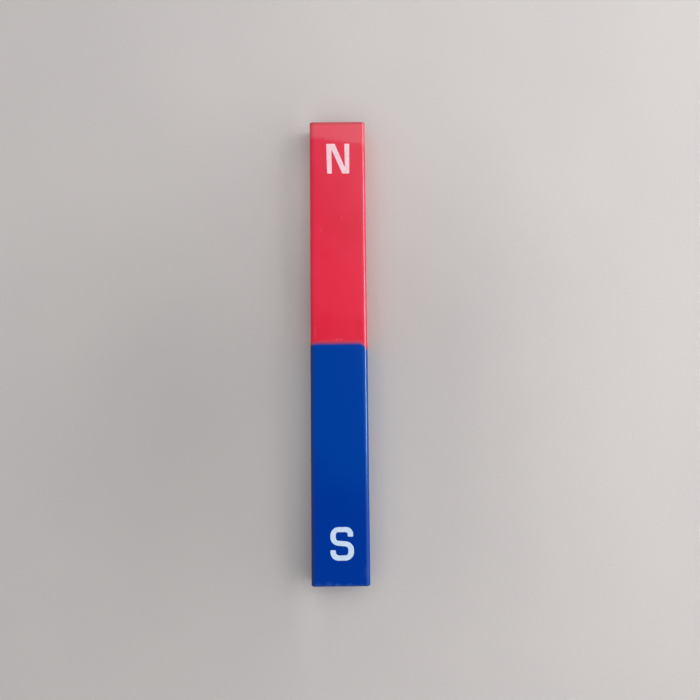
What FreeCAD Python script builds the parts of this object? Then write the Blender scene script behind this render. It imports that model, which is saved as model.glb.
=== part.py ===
import FreeCAD, Part
import math
import os

# A bar magnet lying on its broad face. X runs across the bar, Y runs along it towards the
# north pole and +Z is up. The origin is at the middle of the footprint, on the surface
# that the bar lies on. Sizes are in millimetres.

# The bar over all its enamel
LENGTH = 180.0
WIDTH = 22.2
HEIGHT = 10.0
LONG_EDGE_RADIUS = 1.5
END_EDGE_RADIUS = 0.6

# The blue dip coat, which lies on the red enamel and closes over the south end
COAT_THICKNESS = 0.1
DIP_DEPTH = 92.7

# The coat's edge falls back to the south towards each long edge, along a quarter round of
# this radius. The wet enamel ran off further on the +X side than on the -X side.
FALL_RADIUS_PLUS_X = 2.0
FALL_RADIUS_MINUS_X = 0.5

# The cutting solids stand past the coat by this much, so that no faces coincide
CUT_OVERLAP = 0.1

SOUTH_END = -LENGTH / 2
COAT_EDGE = SOUTH_END + DIP_DEPTH


def section_wire(width, height, radius):
    """The bar's rounded rectangular section at y = 0, with its middle at z = 0."""
    flat_x = width / 2 - radius
    flat_z = height / 2 - radius
    diagonal = radius * math.sqrt(0.5)
    starts = []
    arcs = []
    # The four corners in order, each with the signs of its X and Z and whether its arc
    # begins on a face square to X
    for sign_x, sign_z, from_side in ((1, 1, True), (-1, 1, False), (-1, -1, True), (1, -1, False)):
        centre = FreeCAD.Vector(sign_x * flat_x, 0, sign_z * flat_z)
        on_side = centre + FreeCAD.Vector(sign_x * radius, 0, 0)
        on_face = centre + FreeCAD.Vector(0, 0, sign_z * radius)
        middle = centre + FreeCAD.Vector(sign_x * diagonal, 0, sign_z * diagonal)
        first, last = (on_side, on_face) if from_side else (on_face, on_side)
        arcs.append(Part.Arc(first, middle, last).toShape())
        starts.append((first, last))
    edges = []
    for index, arc in enumerate(arcs):
        next_start = starts[(index + 1) % len(arcs)][0]
        edges.append(arc)
        edges.append(Part.LineSegment(starts[index][1], next_start).toShape())
    return Part.Wire(edges)


def rounded_bar(south_end, north_end, width, height, long_radius, end_radius):
    """A bar between two values of Y, with its four long edges and both its ends rounded."""
    section = Part.Face(section_wire(width, height, long_radius))
    section.translate(FreeCAD.Vector(0, south_end, HEIGHT / 2))
    blank = section.extrude(FreeCAD.Vector(0, north_end - south_end, 0))
    end_edges = [edge for edge in blank.Edges if edge.BoundBox.YLength < end_radius]
    return blank.makeFillet(end_radius, end_edges)


def falling_edge_cutter(x, z, fall_radius):
    """A turned solid about the axis of one rounded long edge.

    Taken from the coat it leaves the coat's edge falling south, along a quarter round that
    starts out on the flat faces and ends at the rounded edge.
    """
    top = COAT_EDGE + CUT_OVERLAP
    bottom = top - fall_radius
    outer = LONG_EDGE_RADIUS + fall_radius
    bend = fall_radius * (1 - math.sqrt(0.5))
    on_axis_low = FreeCAD.Vector(0, bottom, 0)
    at_edge = FreeCAD.Vector(LONG_EDGE_RADIUS, bottom, 0)
    mid_round = FreeCAD.Vector(LONG_EDGE_RADIUS + bend, top - bend, 0)
    at_face = FreeCAD.Vector(outer, top, 0)
    on_axis_high = FreeCAD.Vector(0, top, 0)
    profile = Part.Wire([
        Part.LineSegment(on_axis_low, at_edge).toShape(),
        Part.Arc(at_edge, mid_round, at_face).toShape(),
        Part.LineSegment(at_face, on_axis_high).toShape(),
        Part.LineSegment(on_axis_high, on_axis_low).toShape(),
    ])
    cutter = Part.Face(profile).revolve(FreeCAD.Vector(0, 0, 0), FreeCAD.Vector(0, 1, 0), 360)
    cutter.translate(FreeCAD.Vector(x, 0, z))
    return cutter


def magnet_bar():
    """The solid magnet in its red enamel, one coat's thickness inside the blue."""
    return rounded_bar(
        SOUTH_END + COAT_THICKNESS,
        LENGTH / 2,
        WIDTH - 2 * COAT_THICKNESS,
        HEIGHT - 2 * COAT_THICKNESS,
        LONG_EDGE_RADIUS - COAT_THICKNESS,
        END_EDGE_RADIUS - COAT_THICKNESS,
    )


def south_coat(bar):
    """The blue coat over the bar's south half, as thick everywhere and closed at the end."""
    outside = rounded_bar(
        SOUTH_END, LENGTH / 2, WIDTH, HEIGHT, LONG_EDGE_RADIUS, END_EDGE_RADIUS
    )
    dip = Part.makeBox(
        WIDTH + 2 * CUT_OVERLAP,
        DIP_DEPTH + CUT_OVERLAP,
        HEIGHT + 2 * CUT_OVERLAP,
        FreeCAD.Vector(-WIDTH / 2 - CUT_OVERLAP, SOUTH_END - CUT_OVERLAP, -CUT_OVERLAP),
    )
    coat = outside.common(dip).cut(bar)
    for sign_x, fall_radius in ((1, FALL_RADIUS_PLUS_X), (-1, FALL_RADIUS_MINUS_X)):
        x = sign_x * (WIDTH / 2 - LONG_EDGE_RADIUS)
        for z in (LONG_EDGE_RADIUS, HEIGHT - LONG_EDGE_RADIUS):
            coat = coat.cut(falling_edge_cutter(x, z, fall_radius))
    return coat


def main():
    """Build both nodes, write one STEP file for each and print what they measure."""
    os.makedirs("parts", exist_ok=True)
    bar = magnet_bar()
    nodes = {"magnet_bar": bar, "south_coat": south_coat(bar)}
    for name, shape in nodes.items():
        solid = shape.Solids[0] if len(shape.Solids) == 1 else shape
        solid.exportStep(f"parts/{name}.step")
        box = solid.optimalBoundingBox()
        print(name, "solids", len(shape.Solids), "valid", shape.isValid(), "volume", round(shape.Volume, 2))
        print("  from", round(box.XMin, 3), round(box.YMin, 3), round(box.ZMin, 3))
        print("  to", round(box.XMax, 3), round(box.YMax, 3), round(box.ZMax, 3))


main()
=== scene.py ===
import logging
import math
from dataclasses import asdict, dataclass, fields, replace
from enum import Enum
from typing import Any, Callable, Mapping, Sequence, Union

import bmesh
import bpy
from mathutils import Euler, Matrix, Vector


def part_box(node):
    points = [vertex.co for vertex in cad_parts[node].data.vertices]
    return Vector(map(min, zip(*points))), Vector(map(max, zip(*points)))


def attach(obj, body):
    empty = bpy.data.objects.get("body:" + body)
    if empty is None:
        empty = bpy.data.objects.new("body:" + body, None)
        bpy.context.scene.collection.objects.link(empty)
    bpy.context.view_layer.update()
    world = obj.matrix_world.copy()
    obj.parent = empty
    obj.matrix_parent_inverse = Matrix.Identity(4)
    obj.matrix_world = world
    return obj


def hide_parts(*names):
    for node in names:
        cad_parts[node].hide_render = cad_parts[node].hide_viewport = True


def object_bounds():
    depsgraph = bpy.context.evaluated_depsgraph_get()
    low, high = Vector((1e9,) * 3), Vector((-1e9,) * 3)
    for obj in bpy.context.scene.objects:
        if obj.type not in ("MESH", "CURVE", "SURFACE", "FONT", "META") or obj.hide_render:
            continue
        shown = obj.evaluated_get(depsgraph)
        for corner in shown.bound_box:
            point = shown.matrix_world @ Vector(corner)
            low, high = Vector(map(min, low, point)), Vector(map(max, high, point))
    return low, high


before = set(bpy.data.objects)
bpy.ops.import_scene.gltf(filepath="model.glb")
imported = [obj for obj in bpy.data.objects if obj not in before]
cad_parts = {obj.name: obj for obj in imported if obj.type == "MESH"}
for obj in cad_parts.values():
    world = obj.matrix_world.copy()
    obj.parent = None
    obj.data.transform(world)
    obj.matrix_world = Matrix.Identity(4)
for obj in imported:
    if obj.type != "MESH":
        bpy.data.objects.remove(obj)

# A bar magnet in red enamel, with a blue dip coat over its south half and its two poles
# printed. It lies on its broad face with the north pole towards +Y. All sizes are metres.

LOG = logging.getLogger("bar_magnet")
MM = 0.001
CAD_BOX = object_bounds()

Colour = tuple[float, float, float]

# The bar's top face and the radii of its long and end edges, in millimetres
TOP_FACE = CAD_BOX[1][2] / MM
LONG_EDGE = 1.5
END_EDGE = 0.6


def from_screen(red: float, green: float, blue: float) -> Colour:
    """Turn a screen colour into the linear one that shaders use.

    Args:
        red: Red, from 0 to 255.
        green: Green, from 0 to 255.
        blue: Blue, from 0 to 255.

    Returns:
        The linear colour.
    """
    def one(value: float) -> float:
        """Linear value of one channel."""
        part = value / 255
        return part / 12.92 if part <= 0.04045 else ((part + 0.055) / 1.055) ** 2.4

    return one(red), one(green), one(blue)


# Node graphs


def pick(sockets: Any, key: Union[int, str]) -> bpy.types.NodeSocket:
    """Find one socket of a node.

    Args:
        sockets: The node's inputs or outputs.
        key: The socket's number, identifier or name.

    Returns:
        The socket.
    """
    if isinstance(key, int):
        return sockets[key]
    for socket in sockets:
        if socket.identifier == key:
            return socket
    return sockets[key]


class Graph:
    """A shader or geometry tree that is being built."""

    def __init__(self, tree: bpy.types.NodeTree) -> None:
        """Start from an existing tree, with nothing in it."""
        self.tree = tree
        tree.nodes.clear()

    def add(
        self,
        kind: str,
        settings: Union[Mapping[str, Any], None] = None,
        sockets: Union[Mapping[Union[int, str], Any], None] = None,
    ) -> "Placed":
        """Add a node.

        Args:
            kind: The node's type, such as ShaderNodeTexNoise.
            settings: The node's own settings, which are set first.
            sockets: The values of its inputs, or the signals that feed them.

        Returns:
            The node, whose outputs are read by name, identifier or number.
        """
        node = self.tree.nodes.new(kind)
        for name, value in (settings or {}).items():
            setattr(node, name, value)
        for key, value in (sockets or {}).items():
            socket = pick(node.inputs, key)
            if isinstance(value, Signal):
                self.tree.links.new(value.socket, socket)
            elif socket.type == "RGBA" and len(value) == 3:
                socket.default_value = (*value, 1.0)
            else:
                socket.default_value = value
        return Placed(self, node)

    def mix_colour(self, factor: Any, first: Any, second: Any) -> "Signal":
        """Mix two colours: the first where the factor is 0, the second where it is 1."""
        sockets = {"Factor_Float": factor, "A_Color": first, "B_Color": second}
        return self.add("ShaderNodeMix", {"data_type": "RGBA"}, sockets)["Result_Color"]

    def scaled(self, first: Any, gain: Any) -> "Signal":
        """Multiply a vector or a colour by a number."""
        return self.add("ShaderNodeVectorMath", {"operation": "SCALE"}, {0: first, "Scale": gain})["Vector"]

    def vector(self, operation: str, first: Any, second: Any) -> "Signal":
        """Join two vectors by one step of vector maths."""
        return self.add("ShaderNodeVectorMath", {"operation": operation}, {0: first, 1: second})["Vector"]

    def combine(self, x: Any, y: Any, z: Any) -> "Signal":
        """Make a vector from its three parts."""
        return self.add("ShaderNodeCombineXYZ", None, {"X": x, "Y": y, "Z": z})["Vector"]

    def noise(self, place: Any, size: Any, detail: float = 2.0) -> "Signal":
        """Smooth noise of 0 to 1, with blotches of a size in the place's unit and finer octaves."""
        sockets = {"Vector": place, "Scale": 1 / size, "Detail": detail}
        return self.add("ShaderNodeTexNoise", {"noise_dimensions": "3D"}, sockets)["Fac"]

    def relief(self, height: Any, strength: float = 1.0) -> "Signal":
        """A normal that follows a height in metres."""
        sockets = {"Strength": strength, "Distance": 1.0, "Height": height}
        return self.add("ShaderNodeBump", None, sockets)["Normal"]

    def shader(self, base: Any, rough: Any, normal: Any, sheen: Colour = (1.0, 1.0, 1.0)) -> "Signal":
        """A shader with a base colour, a roughness, a normal and the tint of its gloss."""
        sockets = {"Base Color": base, "Roughness": rough, "Normal": normal, "Specular Tint": sheen}
        return self.add("ShaderNodeBsdfPrincipled", None, sockets)["BSDF"]


@dataclass(frozen=True)
class Placed:
    """A node that stands in a graph."""

    graph: Graph
    node: bpy.types.Node

    def __getitem__(self, key: Union[int, str]) -> "Signal":
        """One output of the node, by name, identifier or number."""
        return Signal(self.graph, pick(self.node.outputs, key))


def maths(operation: str, reflected: bool = False) -> Callable[..., "Signal"]:
    """Make a method of Signal that adds one Math node.

    Args:
        operation: The node's operation.
        reflected: Whether the signal comes after the other term, as in Python's reflected forms.

    Returns:
        The method.
    """
    def method(self: "Signal", *others: Any) -> "Signal":
        """Add the node over the signal and the other terms."""
        terms = (*others, self) if reflected else (self, *others)
        return self.graph.add("ShaderNodeMath", {"operation": operation}, dict(enumerate(terms)))["Value"]

    return method


@dataclass(frozen=True, eq=False)
class Signal:
    """One output of a node, on which Python's operators add Math nodes."""

    graph: Graph
    socket: bpy.types.NodeSocket

    __add__, __radd__ = maths("ADD"), maths("ADD", reflected=True)
    __sub__, __rsub__ = maths("SUBTRACT"), maths("SUBTRACT", reflected=True)
    __mul__, __rmul__ = maths("MULTIPLY"), maths("MULTIPLY", reflected=True)
    __truediv__, __rtruediv__ = maths("DIVIDE"), maths("DIVIDE", reflected=True)
    __pow__, __gt__, __abs__ = maths("POWER"), maths("GREATER_THAN"), maths("ABSOLUTE")
    floor, sqrt, cos, sin = maths("FLOOR"), maths("SQRT"), maths("COSINE"), maths("SINE")
    at_least, at_most = maths("MAXIMUM"), maths("MINIMUM")

    def rise(self, low: Any, high: Any) -> "Signal":
        """A soft step from 0 at the low value to 1 at the high one.

        Args:
            low: Where the step starts.
            high: Where it ends. It may be under the low value, and then the step falls.

        Returns:
            The step.
        """
        settings = {"interpolation_type": "SMOOTHSTEP"}
        sockets = {"Value": self, "From Min": low, "From Max": high}
        return self.graph.add("ShaderNodeMapRange", settings, sockets)["Result"]

    def about(self, middle: float, reach: float) -> "Signal":
        """Spread a signal of 0 to 1 evenly over what lies within a reach of a middle."""
        return self * (2 * reach) + (middle - reach)

    def parts(self) -> tuple["Signal", "Signal", "Signal"]:
        """The X, Y and Z of a vector."""
        split = self.graph.add("ShaderNodeSeparateXYZ", None, {0: self})
        return split["X"], split["Y"], split["Z"]


# Finishes


class Slot(Enum):
    """The record's finish slots."""

    RED = "red_enamel"
    BLUE = "blue_enamel"


@dataclass(frozen=True)
class Finish:
    """A procedural finish over a piece's own coordinates, in millimetres."""

    name: str = "finish"

    def material(self) -> bpy.types.Material:
        """Build the finish.

        Returns:
            The material.
        """
        made = bpy.data.materials.new(self.name)
        made.use_nodes = True
        graph = Graph(made.node_tree)
        metres = graph.add("ShaderNodeTexCoord")["Object"]
        place = graph.scaled(metres, 1 / MM)
        surface = self.surface(graph, place)
        graph.add("ShaderNodeOutputMaterial", None, {"Surface": surface})
        return made

    def surface(self, graph: Graph, place: Signal) -> Signal:
        """Build the finish's shader.

        Args:
            graph: The material's graph.
            place: The place on the piece, in millimetres.

        Returns:
            The shader.
        """
        raise NotImplementedError


@dataclass(frozen=True)
class Onset:
    """Where something sets in along an axis or over a noise, and how strong it gets.

    Attributes:
        start: Where it starts.
        full: Where it has its full strength. It may lie under the start.
        strength: That strength.
    """

    start: float
    full: float
    strength: float = 1.0

    def weight(self, place: Signal) -> Signal:
        """How strong it is at a place."""
        return place.rise(self.start, self.full) * self.strength


@dataclass(frozen=True)
class Patch:
    """A soft round patch of a finish, in millimetres.

    Attributes:
        x: Its middle across the bar.
        y: Its middle along the bar.
        reach_x: How far it reaches across.
        reach_y: How far it reaches along.
        gain: How much it lightens the colour in its middle, or darkens it where below 0.
    """

    x: float
    y: float
    reach_x: float
    reach_y: float
    gain: float

    def weight(self, across: Signal, along: Signal) -> Signal:
        """How much it gives at an X and a Y in millimetres: its gain in the middle, 0 at its reach."""
        off_x, off_y = (across - self.x) / self.reach_x, (along - self.y) / self.reach_y
        return (off_x * off_x + off_y * off_y).sqrt().rise(1.0, 0.0) * self.gain


def top_side(height: Signal, edge: float) -> Signal:
    """1 on the bar's top side, down to the foot of its rounded edge, and 0 as far again below that."""
    return height.rise(TOP_FACE - 2 * edge, TOP_FACE - edge)


@dataclass(frozen=True)
class Enamel(Finish):
    """A gloss enamel. Its sizes and depths are in millimetres.

    Attributes:
        sheen: The tint of its gloss.
        grain_size: The size of its grain, which lightens and darkens the colour by grain_gain.
        roughness: Its middle roughness.
        haze: How far the roughness strays from the middle, in clouds of haze_size.
        peel_size: The size of its peel, whose depth is peel_depth.
        grit_size: The size of its fine grit, whose depth is grit_depth.
        rub_roughness: How much rougher a rub is. It is rub_depth deep.
        rub_width: The width of a rub's lines, which are about rub_length long.
        rub_line: Which share of the fine noise is a line.
        rubbed: Which areas, of about rubbed_size, hold such lines.
    """

    sheen: Colour = (1.0, 1.0, 1.0)
    grain_size: float = 0.5
    grain_gain: float = 0.03
    roughness: float = 0.13
    haze: float = 0.02
    haze_size: float = 11.0
    peel_size: float = 2.6
    peel_depth: float = 0.006
    grit_size: float = 0.16
    grit_depth: float = 0.0006
    rub_roughness: float = 0.10
    rub_depth: float = 0.001
    rub_width: float = 0.16
    rub_length: float = 9.0
    rub_line: Onset = Onset(0.70, 0.76)
    rubbed_size: float = 14.0
    rubbed: Onset = Onset(0.50, 0.66)

    def grained(self, graph: Graph, place: Signal, base: Signal) -> Signal:
        """Give a colour the enamel's grain."""
        return graph.scaled(base, graph.noise(place, self.grain_size, 3.0).about(1.0, self.grain_gain))

    def dressed(self, graph: Graph, place: Signal, base: Signal) -> Signal:
        """Build the enamel's shader over its colour.

        Args:
            graph: The material's graph.
            place: The place on the piece, in millimetres.
            base: The colour.

        Returns:
            The shader.
        """
        rubs = self._rubs(graph, place)
        cloud = graph.noise(place, self.haze_size, 3.0).about(self.roughness, self.haze)
        peel = graph.noise(place, self.peel_size) * (self.peel_depth * MM)
        grit = graph.noise(place, self.grit_size) * (self.grit_depth * MM)
        normal = graph.relief(peel + grit - rubs * (self.rub_depth * MM))
        return graph.shader(base, cloud + rubs * self.rub_roughness, normal, self.sheen)

    def _rubs(self, graph: Graph, place: Signal) -> Signal:
        """Hairlines that run along the bar, from sliding against other things.

        Args:
            graph: The material's graph.
            place: The place on the piece, in millimetres.

        Returns:
            1 in a hairline and 0 outside.
        """
        narrow = 1 / self.rub_width
        drift = graph.vector("MULTIPLY", place, (narrow, 1 / self.rub_length, narrow))
        lines, areas = graph.noise(drift, 1.0, 1.0), graph.noise(place, self.rubbed_size, 1.0)
        return self.rub_line.weight(lines) * self.rubbed.weight(areas)


@dataclass(frozen=True)
class RedEnamel(Enamel):
    """Gloss red enamel, with painted sheen that pales it a little to the north, a paler band round that end
    and painted shade along that end's edge.

    The band's border slants from band_left to band_right over lap_width, and wanders.
    """

    name: str = "red_enamel"
    body: Colour = from_screen(224, 46, 70)
    deep: Colour = from_screen(217, 40, 63)
    lap: Colour = from_screen(223, 81, 95)
    # The colour of the painted shade along the north end's edge
    rim: Colour = from_screen(188, 68, 76)
    # The pale colour of the painted sheen to the north, also used for the pale specks
    pale: Colour = from_screen(234, 92, 118)
    sheen: Colour = (1.0, 0.9, 1.0)
    mottle_size: float = 23.0
    mottle: Onset = Onset(0.35, 0.65)
    # Painted sheen: where the red pales towards the north, and how much
    paling: Onset = Onset(10.0, 75.0, 0.07)
    end_shade_onset: Onset = Onset(88.2, 89.6, 0.9)
    band_left: float = 84.0
    band_right: float = 80.6
    lap_width: float = 20.0
    band_soft: float = 2.4
    band_cover: float = 0.9
    band_wander: float = 3.4
    band_wander_size: float = 3.6
    # Pale specks on the top face, at listed places
    nibs: tuple[Patch, ...] = (
        Patch(-0.8, 2.9, 1.0, 0.7, 0.5),
        Patch(0.9, 3.0, 0.8, 0.7, 0.5),
        Patch(-9.2, 5.9, 0.6, 3.4, 0.3),
        Patch(1.5, 51.0, 0.6, 0.6, 0.4),
        Patch(-6.8, 45.8, 0.6, 0.6, 0.4),
    )

    def surface(self, graph: Graph, place: Signal) -> Signal:
        """Build the red enamel's shader."""
        x, y, z = place.parts()
        mottle = self.mottle.weight(graph.noise(place, self.mottle_size, 4.0))
        base = graph.mix_colour(mottle, self.deep, self.body)
        # Painted sheen: the colour pales towards the north end.
        base = graph.mix_colour(self.paling.weight(y), base, self.pale)
        # A paler band round the north end.
        base = graph.mix_colour(self._banded(graph, place), base, self.lap)
        # Painted shade along the north end's edge, on the top side.
        base = graph.mix_colour(self.end_shade_onset.weight(y) * top_side(z, END_EDGE), base, self.rim)
        upper = top_side(z, LONG_EDGE)
        # Pale specks on the top face.
        for speck in self.nibs:
            base = graph.mix_colour(speck.weight(x, y) * upper, base, self.pale)
        return self.dressed(graph, place, self.grained(graph, place, base))

    def _banded(self, graph: Graph, place: Signal) -> Signal:
        """How much of the pale band lies at a place."""
        x, y, _ = place.parts()
        slope = (self.band_right - self.band_left) / self.lap_width
        middle = (self.band_right + self.band_left) / 2
        wander = (graph.noise(place, self.band_wander_size, 3.0) - 0.5) * self.band_wander
        border = x * slope + middle + wander
        return (y - border).rise(-self.band_soft / 2, self.band_soft / 2) * self.band_cover


@dataclass(frozen=True)
class BlueEnamel(Enamel):
    """Gloss blue enamel, thin over the red at its edge and rubbed at the south end, with painted shade along
    its left edge and its south end's edge, and a painted highlight on its right edge near the south end.
    """

    name: str = "blue_enamel"
    body: Colour = from_screen(0, 60, 152)
    deep: Colour = from_screen(0, 52, 147)
    under: Colour = from_screen(221, 43, 66)
    between: Colour = from_screen(160, 73, 70)
    # The colour of the painted shade along the left edge
    brink: Colour = from_screen(46, 50, 84)
    # The colour of the painted shade along the south end's edge
    rim: Colour = from_screen(70, 88, 112)
    # The colour of the rubbed wear, and of the painted highlight near the south end
    worn: Colour = from_screen(66, 112, 178)
    sheen: Colour = (0.52, 0.94, 1.0)
    mottle_size: float = 26.0
    mottle_reach: float = 40.0
    deepening: Onset = Onset(-38.0, -62.0)
    left_shade_onset: Onset = Onset(-9.1, -10.9, 0.62)
    end_shade_onset: Onset = Onset(-88.9, -89.9, 0.3)
    uneven: float = 0.25
    uneven_size: float = 0.9
    marks: tuple[Patch, ...] = (
        Patch(-8.4, -89.1, 2.0, 1.2, 0.12),
        Patch(-4.4, -89.1, 1.8, 1.6, 0.24),
        Patch(-1.2, -89.5, 1.4, 1.2, 0.34),
        Patch(3.4, -89.3, 1.6, 1.2, 0.20),
        # Painted highlight on the right edge near the south end; the marks above are wear.
        Patch(9.6, -84.5, 1.5, 4.0, 0.14),
    )

    def surface(self, graph: Graph, place: Signal) -> Signal:
        """Build the blue enamel's shader."""
        x, y, z = place.parts()
        mottle = graph.noise(place, self.mottle_size, 4.0) - 0.5
        lower = self.deepening.weight(y + mottle * self.mottle_reach)
        base = self.grained(graph, place, graph.mix_colour(lower, self.body, self.deep))
        upper = top_side(z, LONG_EDGE)
        # Painted shade along the left long edge, on the top side.
        base = graph.mix_colour(self.left_shade_onset.weight(x) * upper, base, self.brink)
        # Painted shade along the south end's edge, on the top side.
        base = graph.mix_colour(self.end_shade_onset.weight(y) * top_side(z, END_EDGE), base, self.rim)
        # Wear at the south end, and a painted highlight on the right edge near it.
        for mark in self.marks:
            base = graph.mix_colour(mark.weight(x, y) * upper, base, self.worn)
        cover = self._cover(graph, place)
        base = graph.mix_colour(cover, self.under, base)
        base = graph.mix_colour(cover * (1.0 - cover) * 2.0, base, self.between)
        return self.dressed(graph, place, base)

    def _cover(self, graph: Graph, place: Signal) -> Signal:
        """How well the film hides the red: 0 at its edge, then unevenly up to 1."""
        film = graph.add("ShaderNodeAttribute", {"attribute_name": "film"})["Fac"]
        uneven = (graph.noise(place, self.uneven_size) - 0.5) * self.uneven
        return (film + uneven * film * (1.0 - film) * 4.0).rise(0.0, 1.0)


@dataclass(frozen=True)
class PrintInk(Finish):
    """Pale printing ink that lets a little of the enamel show through."""

    name: str = "print_ink"
    full: Colour = from_screen(239, 207, 213)
    thin: Colour = from_screen(236, 190, 200)
    cloud_size: float = 1.6
    cloud: Onset = Onset(0.62, 0.38, 0.6)
    pin_size: float = 0.22
    pin: Onset = Onset(0.64, 0.74, 0.3)
    pin_depth: float = 0.004
    roughness: float = 0.48
    haze: float = 0.10

    def surface(self, graph: Graph, place: Signal) -> Signal:
        """Build the ink's shader."""
        cloud = graph.noise(place, self.cloud_size, 3.0)
        pin = graph.noise(place, self.pin_size)
        thin = (self.cloud.weight(cloud) + self.pin.weight(pin)).at_most(1.0)
        base = graph.mix_colour(thin, self.full, self.thin)
        normal = graph.relief(pin * (self.pin_depth * MM))
        return graph.shader(base, cloud.about(self.roughness, self.haze), normal)


@dataclass(frozen=True)
class FloorFinish(Finish):
    """A pale, slightly warm grey table top with a fine even grain, and painted light and shade: brighter to
    the right and north, painted shadow round the bar and painted light along its left side.
    """

    name: str = "pale_floor"
    light: Colour = from_screen(198, 194, 190)
    dark: Colour = from_screen(191, 187, 184)
    cloud_size: float = 90.0
    cloud: Onset = Onset(0.3, 0.7, 0.5)
    grain_size: float = 1.1
    grain: Onset = Onset(0.2, 0.8, 0.5)
    grain_depth: float = 0.03
    grain_strength: float = 0.6
    roughness: float = 0.68
    haze: float = 0.06
    # Painted light: the floor grows brighter to the right and to the north.
    light_ramp_x: float = 0.12
    light_ramp_y: float = 0.05
    reach: float = 130.0
    # Painted shadow round the bar, and painted light along its left side that lifts the shadow there.
    patches: tuple[Patch, ...] = (
        Patch(-62.0, -22.0, 95.0, 150.0, -0.13),
        Patch(38.0, -15.0, 60.0, 150.0, -0.09),
        Patch(-12.0, 60.0, 12.0, 50.0, 0.28),
        Patch(-13.0, 74.0, 10.0, 30.0, 0.10),
        Patch(-12.0, -20.0, 12.0, 120.0, 0.27),
        Patch(-11.0, -5.0, 5.0, 110.0, 0.07),
        Patch(0.0, -15.0, 130.0, 170.0, -0.08),
    )

    def surface(self, graph: Graph, place: Signal) -> Signal:
        """Build the floor's shader."""
        x, y, _ = place.parts()
        cloud = graph.noise(place, self.cloud_size, 3.0)
        grain = graph.noise(place, self.grain_size, 3.0)
        base = graph.mix_colour(self.cloud.weight(cloud) + self.grain.weight(grain), self.dark, self.light)
        # Painted light and shade: the ramps and patches lighten and darken the floor.
        gain = self._ramp(x, self.light_ramp_x) + self._ramp(y, self.light_ramp_y) + 1.0
        for patch in self.patches:
            gain = gain + patch.weight(x, y)
        normal = graph.relief(grain * (self.grain_depth * MM), self.grain_strength)
        return graph.shader(graph.scaled(base, gain), cloud.about(self.roughness, self.haze), normal)

    def _ramp(self, place: Signal, gain: float) -> Signal:
        """Painted light that grows evenly along one axis, as far as the reach."""
        return place.at_most(self.reach).at_least(-self.reach) * (gain / self.reach)


# Geometry rules


class Feed(Enum):
    """The kinds of named input that a geometry rule takes."""

    NUMBER = "NodeSocketFloat"
    COUNT = "NodeSocketInt"
    MATERIAL = "NodeSocketMaterial"


class GeometryRule:
    """A Geometry Nodes tree with named inputs, run once to give a plain mesh."""

    def __init__(self, name: str, feeds: Mapping[str, Feed]) -> None:
        """Start the tree.

        Args:
            name: The tree's name.
            feeds: The kind of each named input.
        """
        self.tree = bpy.data.node_groups.new(name, "GeometryNodeTree")
        face = self.tree.interface
        face.new_socket("Geometry", in_out="INPUT", socket_type="NodeSocketGeometry")
        for label, kind in feeds.items():
            face.new_socket(label, in_out="INPUT", socket_type=kind.value)
        face.new_socket("Geometry", in_out="OUTPUT", socket_type="NodeSocketGeometry")
        self.graph = Graph(self.tree)
        self.given = self.graph.add("NodeGroupInput")

    def close(self, shape: Signal) -> None:
        """End the tree in Realize Instances and Set Material.

        Args:
            shape: The finished geometry.
        """
        plain = self.graph.add("GeometryNodeRealizeInstances", None, {"Geometry": shape})["Geometry"]
        dressed = {"Geometry": plain, "Material": self.given["Material"]}
        out = self.graph.add("GeometryNodeSetMaterial", None, dressed)["Geometry"]
        self.graph.add("NodeGroupOutput", None, {"Geometry": out})

    def run(self, base: bpy.types.Mesh, values: Mapping[str, Any]) -> bpy.types.Mesh:
        """Run the rule on a base mesh.

        Args:
            base: The mesh that the rule reads.
            values: The value of each named input.

        Returns:
            The plain mesh.
        """
        carrier = bpy.data.objects.new(self.tree.name, base)
        bpy.context.scene.collection.objects.link(carrier)
        modifier = carrier.modifiers.new(self.tree.name, "NODES")
        modifier.node_group = self.tree
        for item in self.tree.interface.items_tree:
            if item.item_type == "SOCKET" and item.in_out == "INPUT" and item.name in values:
                modifier[item.identifier] = values[item.name]
        depsgraph = bpy.context.evaluated_depsgraph_get()
        made = bpy.data.meshes.new_from_object(
            carrier.evaluated_get(depsgraph), preserve_all_data_layers=True, depsgraph=depsgraph
        )
        carrier.modifiers.remove(modifier)
        bpy.data.objects.remove(carrier)
        return made


@dataclass(frozen=True)
class Ring:
    """One turn of the section round the bar.

    Attributes:
        inset: How far the ring lies inside the bar's full section.
        y: Its place along the bar.
        close: How far it has closed towards the bar's axis, from 0 to 1.
        skin: How much of the enamel's slow wave it takes, from 0 to 1.
        film: How thick the enamel is there, from 0 at its edge to 1.
        follow: How much it follows the fall of the dip coat's edge, from 0 to 1.
    """

    inset: float
    y: float
    close: float = 0.0
    skin: float = 1.0
    film: float = 1.0
    follow: float = 0.0


def eased(value: float) -> float:
    """A soft step of a value that runs from 0 to 1."""
    part = min(max(value, 0.0), 1.0)
    return part * part * (3 - 2 * part)


@dataclass(frozen=True)
class Section:
    """The bar's rounded rectangular section, how finely it is stepped and how its enamel lies."""

    width: float
    height: float
    corner_radius: float = LONG_EDGE * MM
    corner_steps: int = 10
    flat_steps: int = 24
    fall_plus_x: float = 2.8 * MM
    fall_minus_x: float = 0.6 * MM
    fall_reach: float = 2.1 * MM
    wave_depth: float = 0.012 * MM
    wave_size: float = 24.0 * MM
    edge_wander: float = 0.16 * MM


def input_name(name: str) -> str:
    """The name of the lathe's input for one of the section's sizes."""
    return name.replace("_", " ").title()


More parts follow.
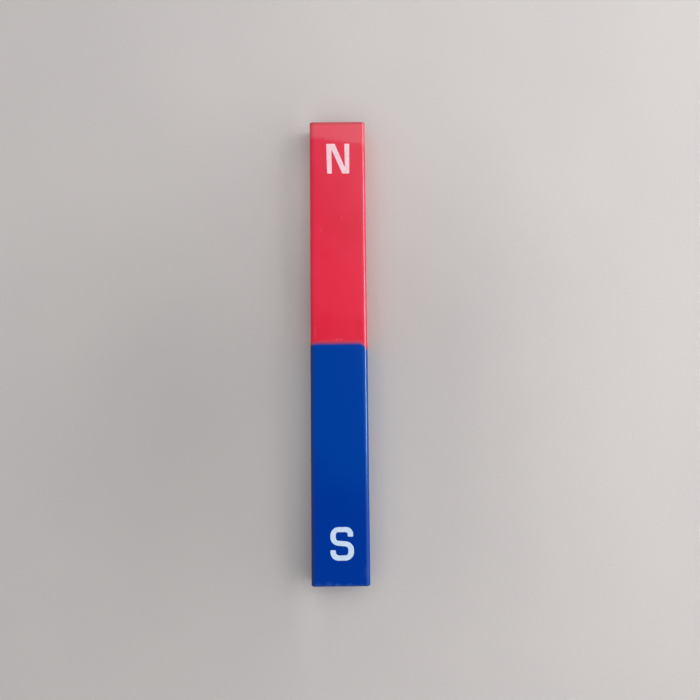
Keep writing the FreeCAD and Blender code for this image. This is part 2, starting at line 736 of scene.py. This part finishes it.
class SquareLathe:
    """Turns a meridian of rings about the bar's rounded rectangular section."""

    TRAITS = ("skin", "film", "follow")
    MERGE_DISTANCE = 1e-7
    FALL_POWER = 2.4
    WANDER_SIZE = 4.0
    SEED_STEP = 7.0

    def __init__(self) -> None:
        """Build the rule, with a named input for each size of the section."""
        kinds = {int: Feed.COUNT, float: Feed.NUMBER}
        feeds = {input_name(size.name): kinds[size.type] for size in fields(Section)}
        self.rule = GeometryRule("square_lathe", {**feeds, "Seed": Feed.NUMBER, "Material": Feed.MATERIAL})
        self.graph, self.given = self.rule.graph, self.rule.given
        self._build()

    def _build(self) -> None:
        """Build the tree: a grid whose rows become the rings and whose columns walk the section."""
        graph, given = self.graph, self.given
        source = {"Geometry": given["Geometry"]}
        rows = graph.add("GeometryNodeAttributeDomainSize", {"component": "MESH"}, source)
        turn = given["Corner Steps"] + given["Flat Steps"]
        columns = turn * 4.0 + 1.0
        size = {"Size X": 1.0, "Size Y": 1.0, "Vertices X": rows["Point Count"], "Vertices Y": columns}
        grid = graph.add("GeometryNodeMeshGrid", None, size)["Mesh"]
        index = graph.add("GeometryNodeInputIndex")["Index"]
        row = ((index + 0.5) / columns).floor()

        place = graph.add("GeometryNodeInputPosition")["Position"]
        inset, along, close = self._sample("FLOAT_VECTOR", place, row).parts()
        traits = {name: self._sample("FLOAT", self._named(name), row) for name in self.TRAITS}
        x, z = self._walk(index - row * columns, turn, inset, 1.0 - close)
        y = along - self._fall(x, z) * traits["follow"]
        spot = graph.combine(x, y, z + given["Height"] * 0.5)
        shape = graph.add("GeometryNodeSetPosition", None, {"Geometry": grid, "Position": spot})["Geometry"]
        for name, value in traits.items():
            stored = {"Geometry": shape, "Name": name, "Value": value}
            settings = {"data_type": "FLOAT", "domain": "POINT"}
            shape = graph.add("GeometryNodeStoreNamedAttribute", settings, stored)["Geometry"]

        merged = {"Geometry": shape, "Distance": self.MERGE_DISTANCE}
        shape = graph.add("GeometryNodeMergeByDistance", None, merged)["Geometry"]
        moved = {"Geometry": shape, "Offset": self._wave(place)}
        shape = graph.add("GeometryNodeSetPosition", None, moved)["Geometry"]
        smooth = {"Geometry": shape, "Shade Smooth": True}
        self.rule.close(graph.add("GeometryNodeSetShadeSmooth", None, smooth)["Geometry"])

    def _reach(self, side: str) -> Signal:
        """How far the middles of the rounded corners lie from the section's middle."""
        return self.given[side] * 0.5 - self.given["Corner Radius"]

    def _walk(self, column: Signal, turn: Signal, inset: Signal, left: Signal) -> tuple[Signal, Signal]:
        """Where a column of the grid lies in the section.

        Args:
            column: The column's number.
            turn: How many columns make a quarter of the section.
            inset: How far the ring lies inside the full section.
            left: How much of the section is left where the ring closes, from 0 to 1.

        Returns:
            The X and Z from the section's middle.
        """
        corner, flat, radius = (self.given[name] for name in ("Corner Steps", "Flat Steps", "Corner Radius"))
        quarter = ((column + 0.5) / turn).floor()
        step = column - quarter * turn
        angle = (quarter + step.at_most(corner) / corner) * (math.pi / 2)
        slide = (step - corner).at_least(0.0) / flat
        here, ahead = (quarter + 0.5) * (math.pi / 2), (quarter + 1.5) * (math.pi / 2)
        middle_x = (here.cos() + (ahead.cos() - here.cos()) * slide) * math.sqrt(2) * self._reach("Width")
        middle_z = (here.sin() + (ahead.sin() - here.sin()) * slide) * math.sqrt(2) * self._reach("Height")
        x = (middle_x + (radius - inset) * angle.cos()) * left
        z = (middle_z + (radius - inset) * angle.sin()) * left
        return x, z

    def _fall(self, x: Signal, z: Signal) -> Signal:
        """How far the dip coat's edge falls back at a place of the section.

        Args:
            x: The place's X.
            z: The place's Z, from the section's middle.

        Returns:
            The fall towards the long edges, with the edge's own wander.
        """
        graph, given = self.graph, self.given
        reach, radius = given["Fall Reach"], given["Corner Radius"]
        past_x, past_z = abs(x) - self._reach("Width"), abs(z) - self._reach("Height")
        off_corner = (past_x.at_most(0.0) + past_z.at_most(0.0)) * -1.0
        round_corner = past_x.at_least(0.0).at_most(past_z.at_least(0.0))
        most = given["Fall Minus X"] + (x > 0.0) * (given["Fall Plus X"] - given["Fall Minus X"])
        near = ((reach - off_corner).at_least(0.0) + round_corner) / (reach + radius * math.sqrt(0.5))
        shaken = graph.combine(x * (1 / MM), given["Seed"] * self.SEED_STEP, z * (1 / MM))
        wander = graph.noise(shaken, self.WANDER_SIZE).at_least(0.0) * given["Edge Wander"]
        return near ** self.FALL_POWER * most + wander

    def _wave(self, place: Signal) -> Signal:
        """How far the enamel's slow wave moves a place along its normal."""
        graph, given = self.graph, self.given
        normal = graph.add("GeometryNodeInputNormal")["Normal"]
        moved = graph.vector("ADD", place, graph.combine(given["Seed"], given["Seed"], given["Seed"]))
        wave = graph.noise(moved, given["Wave Size"], 1.0).at_least(0.0).at_most(1.0)
        return graph.scaled(normal, wave * given["Wave Depth"] * self._named("skin") * -1.0)

    def _named(self, name: str) -> Signal:
        """Read one of the rings' traits."""
        settings = {"data_type": "FLOAT"}
        return self.graph.add("GeometryNodeInputNamedAttribute", settings, {"Name": name})["Attribute"]

    def _sample(self, kind: str, value: Signal, row: Signal) -> Signal:
        """Read a value at one point of the meridian.

        Args:
            kind: The value's data type.
            value: The value.
            row: The point's number.

        Returns:
            The value there.
        """
        settings = {"data_type": kind, "domain": "POINT"}
        sockets = {"Geometry": self.given["Geometry"], "Value": value, "Index": row}
        return self.graph.add("GeometryNodeSampleIndex", settings, sockets)["Value"]

    def turn(
        self, rings: Sequence[Ring], section: Section, seed: float, material: bpy.types.Material
    ) -> bpy.types.Mesh:
        """Turn the rings into a closed mesh.

        Args:
            rings: The rings in order.
            section: The bar's section.
            seed: The seed of its slow waves.
            material: Its finish.

        Returns:
            The mesh.
        """
        base = bpy.data.meshes.new("meridian")
        base.from_pydata([(ring.inset, ring.y, ring.close) for ring in rings], [], [])
        for name in self.TRAITS:
            trait = base.attributes.new(name, "FLOAT", "POINT")
            trait.data.foreach_set("value", [getattr(ring, name) for ring in rings])
        sizes = {input_name(name): value for name, value in asdict(section).items()}
        return self.rule.run(base, {**sizes, "Seed": seed, "Material": material})


# The magnet


def put_in_scene(name: str, mesh: bpy.types.Mesh) -> bpy.types.Object:
    """Make an object of a mesh and link it to the scene.

    Args:
        name: The object's name.
        mesh: Its mesh.

    Returns:
        The object.
    """
    mesh.name = name
    made = bpy.data.objects.new(name, mesh)
    bpy.context.scene.collection.objects.link(made)
    return made


def report(piece: bpy.types.Object) -> None:
    """Log a piece's name, triangles and size."""
    piece.data.calc_loop_triangles()
    low = [min(vertex.co[axis] for vertex in piece.data.vertices) / MM for axis in range(3)]
    high = [max(vertex.co[axis] for vertex in piece.data.vertices) / MM for axis in range(3)]
    box = " ".join(f"{a:.2f}..{b:.2f}" for a, b in zip(low, high))
    LOG.info("%s: %d triangles, mm %s", piece.name, len(piece.data.loop_triangles), box)


# How many rings step over an end's face, over its margin and round its edge
FACE_RINGS = 7
MARGIN_RINGS = 4
EDGE_RINGS = 8


def end_rings(face_y: float, inward: float, outset: float, radius: float, end_radius: float) -> list[Ring]:
    """The rings of one closed end, from the axis out to where the straight part starts.

    Args:
        face_y: The end face's place along the bar.
        inward: 1 or -1, the way from the end face into the bar.
        outset: How far the piece's own section lies inside the bar's full one.
        radius: The full section's corner radius.
        end_radius: The radius of the end's edge.

    Returns:
        The rings, from the pole outwards.
    """
    rings = [Ring(radius, face_y, 1.0 - part / FACE_RINGS) for part in range(FACE_RINGS + 1)]
    flat = radius - outset - end_radius
    rings += [Ring(radius - flat * part / MARGIN_RINGS, face_y) for part in range(1, MARGIN_RINGS)]
    for step in range(EDGE_RINGS + 1):
        turn = math.pi / 2 * step / EDGE_RINGS
        inset = outset + end_radius * (1 - math.sin(turn))
        rings.append(Ring(inset, face_y + inward * end_radius * (1 - math.cos(turn))))
    return rings


def straight_rings(start: float, stop: float, pitch: float, inset: float) -> list[Ring]:
    """Even rings of one inset between two places along the bar, without those two themselves."""
    count = max(2, round(abs(stop - start) / pitch))
    return [Ring(inset, start + (stop - start) * part / count) for part in range(1, count)]


@dataclass
class RedBar:
    """The magnet's bar in its red enamel, whose south half carries the blue coat."""

    section: Section
    south: float
    north: float
    coat_edge: float
    coat_thickness: float = 0.1 * MM
    end_radius: float = 0.5 * MM
    pitch: float = 0.9 * MM
    calm_length: float = 9.0 * MM
    seed: float = 3.0
    finish: Finish = RedEnamel()

    def rings(self) -> list[Ring]:
        """The bar's rings, from the south end to the north end."""
        radius = self.section.corner_radius
        south = end_rings(self.south, 1, self.coat_thickness, radius, self.end_radius)
        north = end_rings(self.north, -1, self.coat_thickness, radius, self.end_radius)
        straight = straight_rings(south[-1].y, north[-1].y, self.pitch, self.coat_thickness)
        rows = south + straight + north[::-1]
        return [self._calmed(row) for row in rows]

    def _calmed(self, row: Ring) -> Ring:
        """A ring with no slow wave where the blue coat lies on it."""
        return replace(row, skin=eased((row.y - self.coat_edge) / self.calm_length))

    def build(self, lathe: SquareLathe) -> None:
        """Build the bar and put it in the place of its CAD node.

        Args:
            lathe: The rule that turns the rings.
        """
        mesh = lathe.turn(self.rings(), self.section, self.seed, self.finish.material())
        piece = put_in_scene("red_enamel_bar", mesh)
        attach(piece, "root")
        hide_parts("magnet_bar")
        report(piece)


@dataclass
class BlueCoat:
    """The blue coat that the bar's south half was dipped in: a closed cup with a thin edge."""

    section: Section
    south: float
    edge: float
    thickness: float = 0.1 * MM
    end_radius: float = END_EDGE * MM
    pitch: float = 0.9 * MM
    inside_pitch: float = 5.4 * MM
    feather: float = 1.9 * MM
    feather_steps: int = 16
    follow_length: float = 8.0 * MM
    bed_in: float = 0.01 * MM
    seed: float = 11.0
    finish: Finish = BlueEnamel()

    def rings(self) -> list[Ring]:
        """The coat's rings: outside from the south end to its edge, then inside and back."""
        radius = self.section.corner_radius
        outside = end_rings(self.south, 1, 0.0, radius, self.end_radius)
        outside += straight_rings(outside[-1].y, self.edge - self.feather, self.pitch, 0.0)
        for step in range(self.feather_steps + 1):
            part = step / self.feather_steps
            inset = (self.thickness + self.bed_in) * (1 - math.sqrt(max(0.0, 1 - part ** 2)))
            outside.append(Ring(inset, self.edge - self.feather * (1 - part), film=1 - part))
        within = self.thickness + self.bed_in
        inside = end_rings(self.south + within, 1, within, radius, self.end_radius - within)
        inside += straight_rings(inside[-1].y, self.edge, self.inside_pitch, within)
        inside = [replace(row, skin=0.0) for row in inside[::-1]]
        return [self._followed(row) for row in outside + inside]

    def _followed(self, row: Ring) -> Ring:
        """A ring that follows the falling edge the more, the nearer it is, and waves the less."""
        follow = eased(1 - (self.edge - row.y) / self.follow_length)
        skin = row.skin * eased((self.edge - row.y) / self.follow_length)
        return replace(row, skin=skin, follow=follow)

    def build(self, lathe: SquareLathe) -> None:
        """Build the coat and put it in the place of its CAD node.

        Args:
            lathe: The rule that turns the rings.
        """
        mesh = lathe.turn(self.rings(), self.section, self.seed, self.finish.material())
        piece = put_in_scene("blue_dip_coat", mesh)
        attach(piece, "root")
        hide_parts("south_coat")
        report(piece)


# The printed pole marks


@dataclass(frozen=True)
class Corner:
    """A corner of a letter's outline, in millimetres, and how far it is rounded."""

    x: float
    y: float
    radius: float = 0.28


# Where the zero of each mark's outline lies, from the bar's middle
NORTH_AT = (-4.45 * MM, 68.8 * MM)
SOUTH_AT = (-3.83 * MM, -80.41 * MM)

NORTH_MARK = (
    Corner(0.07, 12.1),
    Corner(3.4, 12.1, 0.2),
    Corner(7.4, 2.35, 0.12),
    Corner(7.23, 12.1),
    Corner(9.18, 12.1),
    Corner(9.05, 0.0),
    Corner(6.36, 0.0, 0.2),
    Corner(2.07, 10.0, 0.12),
    Corner(2.22, 0.02),
    Corner(0.36, 0.02),
)

SOUTH_MARK = (
    Corner(0.0, 12.33, 3.1),
    Corner(8.55, 12.33, 2.6),
    Corner(8.55, 8.78),
    Corner(6.52, 8.78),
    Corner(6.52, 10.48, 0.9),
    Corner(2.03, 10.48, 0.9),
    Corner(2.03, 7.42, 0.9),
    Corner(8.82, 6.75, 3.2),
    Corner(8.82, 0.0, 3.2),
    Corner(0.0, 0.0, 3.0),
    Corner(0.0, 3.82),
    Corner(1.95, 3.82),
    Corner(2.15, 1.88, 1.2),
    Corner(6.73, 1.88, 1.2),
    Corner(6.73, 5.06, 1.2),
    Corner(0.0, 5.8, 3.1),
)


# The round of the ink's edge: shares of its soft edge inwards and of its thickness upwards
INK_LIP = ((0.0, 0.35), (0.35, 0.85), (1.0, 1.0))
SHARP_ANGLE = math.radians(50)


@dataclass
class PoleMark:
    """A printed letter that lies on the top face as a thin layer of ink.

    Attributes:
        name: The piece's name.
        corners: The letter's outline, clockwise as seen from above.
        origin: The outline's zero, on the top face.
        face: The height of the enamel that carries it.
        slot: The finish slot of that enamel; not used.
        finish: The ink.
    """

    name: str
    corners: Sequence[Corner]
    origin: tuple[float, float]
    face: float
    slot: Slot
    finish: Finish
    bed_in: float = 0.05 * MM
    thickness: float = 0.02 * MM
    soft_edge: float = 0.07 * MM
    arc_steps: int = 9

    def outline(self) -> list[Vector]:
        """The letter's outline with its corners rounded, in metres and in place."""
        points: list[Vector] = []
        count = len(self.corners)
        for number, corner in enumerate(self.corners):
            before = self.corners[number - 1]
            after = self.corners[(number + 1) % count]
            points += self._rounded(before, corner, after)
        shift = Vector(self.origin)
        return [point * MM + shift for point in points]

    def _rounded(self, before: Corner, corner: Corner, after: Corner) -> list[Vector]:
        """One corner as an arc that meets both of its sides.

        Args:
            before: The corner before.
            corner: The corner.
            after: The corner after.

        Returns:
            The arc's points, in millimetres.
        """
        spot = Vector((corner.x, corner.y))
        back = (Vector((before.x, before.y)) - spot).normalized()
        on = (Vector((after.x, after.y)) - spot).normalized()
        half = back.angle(on) / 2
        centre = spot + (back + on).normalized() * (corner.radius / math.sin(half))
        start = spot + back * (corner.radius / math.tan(half)) - centre
        stop = spot + on * (corner.radius / math.tan(half)) - centre
        sweep = math.atan2(start.x * stop.y - start.y * stop.x, start.dot(stop))
        points = []
        for step in range(self.arc_steps + 1):
            turn = sweep * step / self.arc_steps
            cosine, sine = math.cos(turn), math.sin(turn)
            x = start.x * cosine - start.y * sine
            y = start.x * sine + start.y * cosine
            points.append(centre + Vector((x, y)))
        return points

    @staticmethod
    def _drawn_in(points: Sequence[Vector], distance: float) -> list[Vector]:
        """The outline drawn in by a distance, for an outline that runs clockwise."""
        moved = []
        for number, point in enumerate(points):
            side = (points[(number + 1) % len(points)] - points[number - 1]).normalized()
            moved.append(point + Vector((side.y, -side.x)) * distance)
        return moved

    def build(self) -> None:
        """Build the letter and lay it on the enamel."""
        line = self.outline()
        levels = [(0.0, -self.bed_in)]
        levels += [(self.soft_edge * inward, self.thickness * rise) for inward, rise in INK_LIP]
        shell = bmesh.new()
        loops = []
        for inward, rise in levels:
            ring = self._drawn_in(line, inward) if inward else line
            loops.append([shell.verts.new((point.x, point.y, self.face + rise)) for point in ring])
        count = len(line)
        for low, high in zip(loops, loops[1:]):
            for number in range(count):
                after = (number + 1) % count
                shell.faces.new((low[number], high[number], high[after], low[after]))
        shell.faces.new(loops[0])
        shell.faces.new(loops[-1][::-1])
        bmesh.ops.recalc_face_normals(shell, faces=shell.faces)
        bmesh.ops.triangulate(shell, faces=[face for face in shell.faces if len(face.verts) > 4])
        mesh = bpy.data.meshes.new(self.name)
        shell.to_mesh(mesh)
        shell.free()
        mesh.shade_smooth()
        mesh.set_sharp_from_angle(angle=SHARP_ANGLE)
        mesh.materials.append(self.finish.material())
        piece = put_in_scene(self.name, mesh)
        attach(piece, "root")
        report(piece)


# Studio


@dataclass(frozen=True)
class Viewpoint:
    """The camera, at the photograph's place over the bar."""

    place: tuple[float, float, float] = (2.72 * MM, -26.27 * MM, 278.45 * MM)
    tilt: tuple[float, float, float] = (5.34, -0.272, -0.565)
    lens: float = 36.0
    sensor: float = 36.0

    def build(self) -> None:
        """Make the camera and give it to the scene."""
        lens = bpy.data.cameras.new("viewpoint")
        lens.sensor_width, lens.lens = self.sensor, self.lens
        lens.clip_start, lens.clip_end = 0.01, 50.0
        camera = bpy.data.objects.new("viewpoint", lens)
        camera.location = self.place
        camera.rotation_euler = Euler([math.radians(angle) for angle in self.tilt])
        bpy.context.scene.collection.objects.link(camera)
        bpy.context.scene.camera = camera


@dataclass(frozen=True)
class SoftPanel:
    """A flat lamp that faces the bar.

    Attributes:
        name: Its name.
        place: Where it hangs, in metres.
        width: Its level side, in metres.
        height: Its upright side, in metres.
        radiance: How bright its face is, where 1 is white.
        colour: Its colour.
    """

    name: str
    place: tuple[float, float, float]
    width: float
    height: float
    radiance: float
    colour: Colour = (1.0, 1.0, 1.0)

    def build(self) -> None:
        """Hang the panel, facing the bar."""
        lamp = bpy.data.lights.new(self.name, "AREA")
        lamp.shape, lamp.size, lamp.size_y = "RECTANGLE", self.width, self.height
        lamp.energy = self.radiance * math.pi * self.width * self.height
        lamp.color = self.colour
        made = bpy.data.objects.new(self.name, lamp)
        made.location = self.place
        made.rotation_euler = Vector(self.place).to_track_quat("Z", "Y").to_euler()
        bpy.context.scene.collection.objects.link(made)


@dataclass
class Studio:
    """A pale floor, one soft panel and a room, of which the enamel mirrors walls and a strip.

    Attributes:
        floor_side: The floor's side, in metres.
        room_low: How bright the soft light is at the level of the floor, where 1 is white.
        room_rise: How much brighter it is high up.
        room_lean: How much brighter it is to the right than in the middle.
        room_top: How it comes back from the dark patch straight up.
        window: The soft light that comes low from the right.
        faint: How bright the darkest part of the room is.
        mirror_back: The mirrored right and far walls, from mirror_turn times X plus Y.
        mirror_turn: How much more the right counts there than the far side.
        mirror_walls: The other mirrored walls, by height.
        strip_slope: How far off upright the mirrored strip stands, to the right.
        strip_across: How the strip fades to its sides, and how bright it is.
        strip_south: Where it starts towards the south.
        strip_north: Where it ends towards the north.
        seen_level: How bright the camera sees the room.
        room_colour: The colour of its light.
        key: The panel.
    """

    floor_side: float = 6.0
    room_low: float = 0.06
    room_rise: float = 2.2
    room_lean: float = 0.20
    room_top: Onset = Onset(0.97, 0.84)
    window: Onset = Onset(0.50, 0.90, 1.8)
    faint: float = 0.01
    mirror_back: Onset = Onset(0.10, 0.50, 0.95)
    mirror_turn: float = 3.0
    mirror_walls: Onset = Onset(0.95, 0.75, 0.15)
    strip_slope: float = 1.12
    strip_across: Onset = Onset(0.20, 0.10, 24.0)
    strip_south: Onset = Onset(-0.13, 0.03)
    strip_north: Onset = Onset(0.75, 0.05)
    seen_level: float = 0.72
    room_colour: Colour = from_screen(253, 252, 255)
    key: SoftPanel = SoftPanel("key_panel", (0.73, 0.155, 0.65), 0.56, 0.30, 2.6, (1.0, 0.985, 0.96))

    def build(self) -> None:
        """Lay the floor, hang the panel and light the room."""
        self._lay_floor()
        self.key.build()
        self._light_room()

    def _lay_floor(self) -> None:
        """Lay the floor at z = 0."""
        half = self.floor_side / 2
        corners = [(-half, -half, 0), (half, -half, 0), (half, half, 0), (-half, half, 0)]
        mesh = bpy.data.meshes.new("floor")
        mesh.from_pydata(corners, [], [(0, 1, 2, 3)])
        mesh.materials.append(FloorFinish().material())
        put_in_scene("floor", mesh)

    def _light_room(self) -> None:
        """Give the room its soft light, what the enamel mirrors and what the camera sees."""
        world = bpy.data.worlds.new("room")
        world.use_nodes = True
        bpy.context.scene.world = world
        graph = Graph(world.node_tree)
        way = graph.add("ShaderNodeTexCoord")["Generated"]
        path = graph.add("ShaderNodeLightPath")
        seen, mirrored = path["Is Camera Ray"], path["Is Glossy Ray"]
        unseen = self._soft(way) * (1.0 - mirrored) + self._mirrored(way) * mirrored
        strength = seen * self.seen_level + (1.0 - seen) * unseen
        sockets = {"Color": self.room_colour, "Strength": strength}
        light = graph.add("ShaderNodeBackground", None, sockets)["Background"]
        graph.add("ShaderNodeOutputWorld", None, {"Surface": light})

    def _soft(self, way: Signal) -> Signal:
        """The soft light that comes from one way."""
        x, _, z = way.parts()
        above = (z * z * self.room_rise + self.room_low) * (x * self.room_lean + 1.0)
        return above * self.room_top.weight(z) + self.window.weight(x) + self.faint

    def _mirrored(self, way: Signal) -> Signal:
        """What the enamel mirrors from one way: the walls and a strip that leans to the right."""
        x, y, z = way.parts()
        back = self.mirror_back.weight(y + x * self.mirror_turn)
        walls = self.mirror_walls.weight(z) + self.faint
        ends = self.strip_south.weight(y) * self.strip_north.weight(y)
        strip = self.strip_across.weight(abs(x - z * self.strip_slope)) * ends * (x > 0.0)
        return back + walls + strip


def main() -> None:
    """Build the magnet, its print and the studio."""
    logging.basicConfig(level=logging.INFO, format="%(name)s %(message)s")
    scene = bpy.context.scene
    scene.view_settings.view_transform = "Standard"
    coat_low, coat_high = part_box("south_coat")
    bar_low, bar_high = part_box("magnet_bar")
    section = Section(coat_high[0] - coat_low[0], coat_high[2] - coat_low[2])

    Viewpoint().build()
    Studio().build()
    lathe = SquareLathe()
    RedBar(section, bar_low[1], bar_high[1], coat_high[1]).build(lathe)
    BlueCoat(section, coat_low[1], coat_high[1]).build(lathe)
    pink = PrintInk("print_ink_on_red")
    pale = PrintInk("print_ink_on_blue", from_screen(199, 217, 234), from_screen(184, 206, 233))
    PoleMark("pole_mark_n", NORTH_MARK, NORTH_AT, bar_high[2], Slot.RED, pink).build()
    PoleMark("pole_mark_s", SOUTH_MARK, SOUTH_AT, coat_high[2], Slot.BLUE, pale).build()


if __name__ == "__main__":
    main()
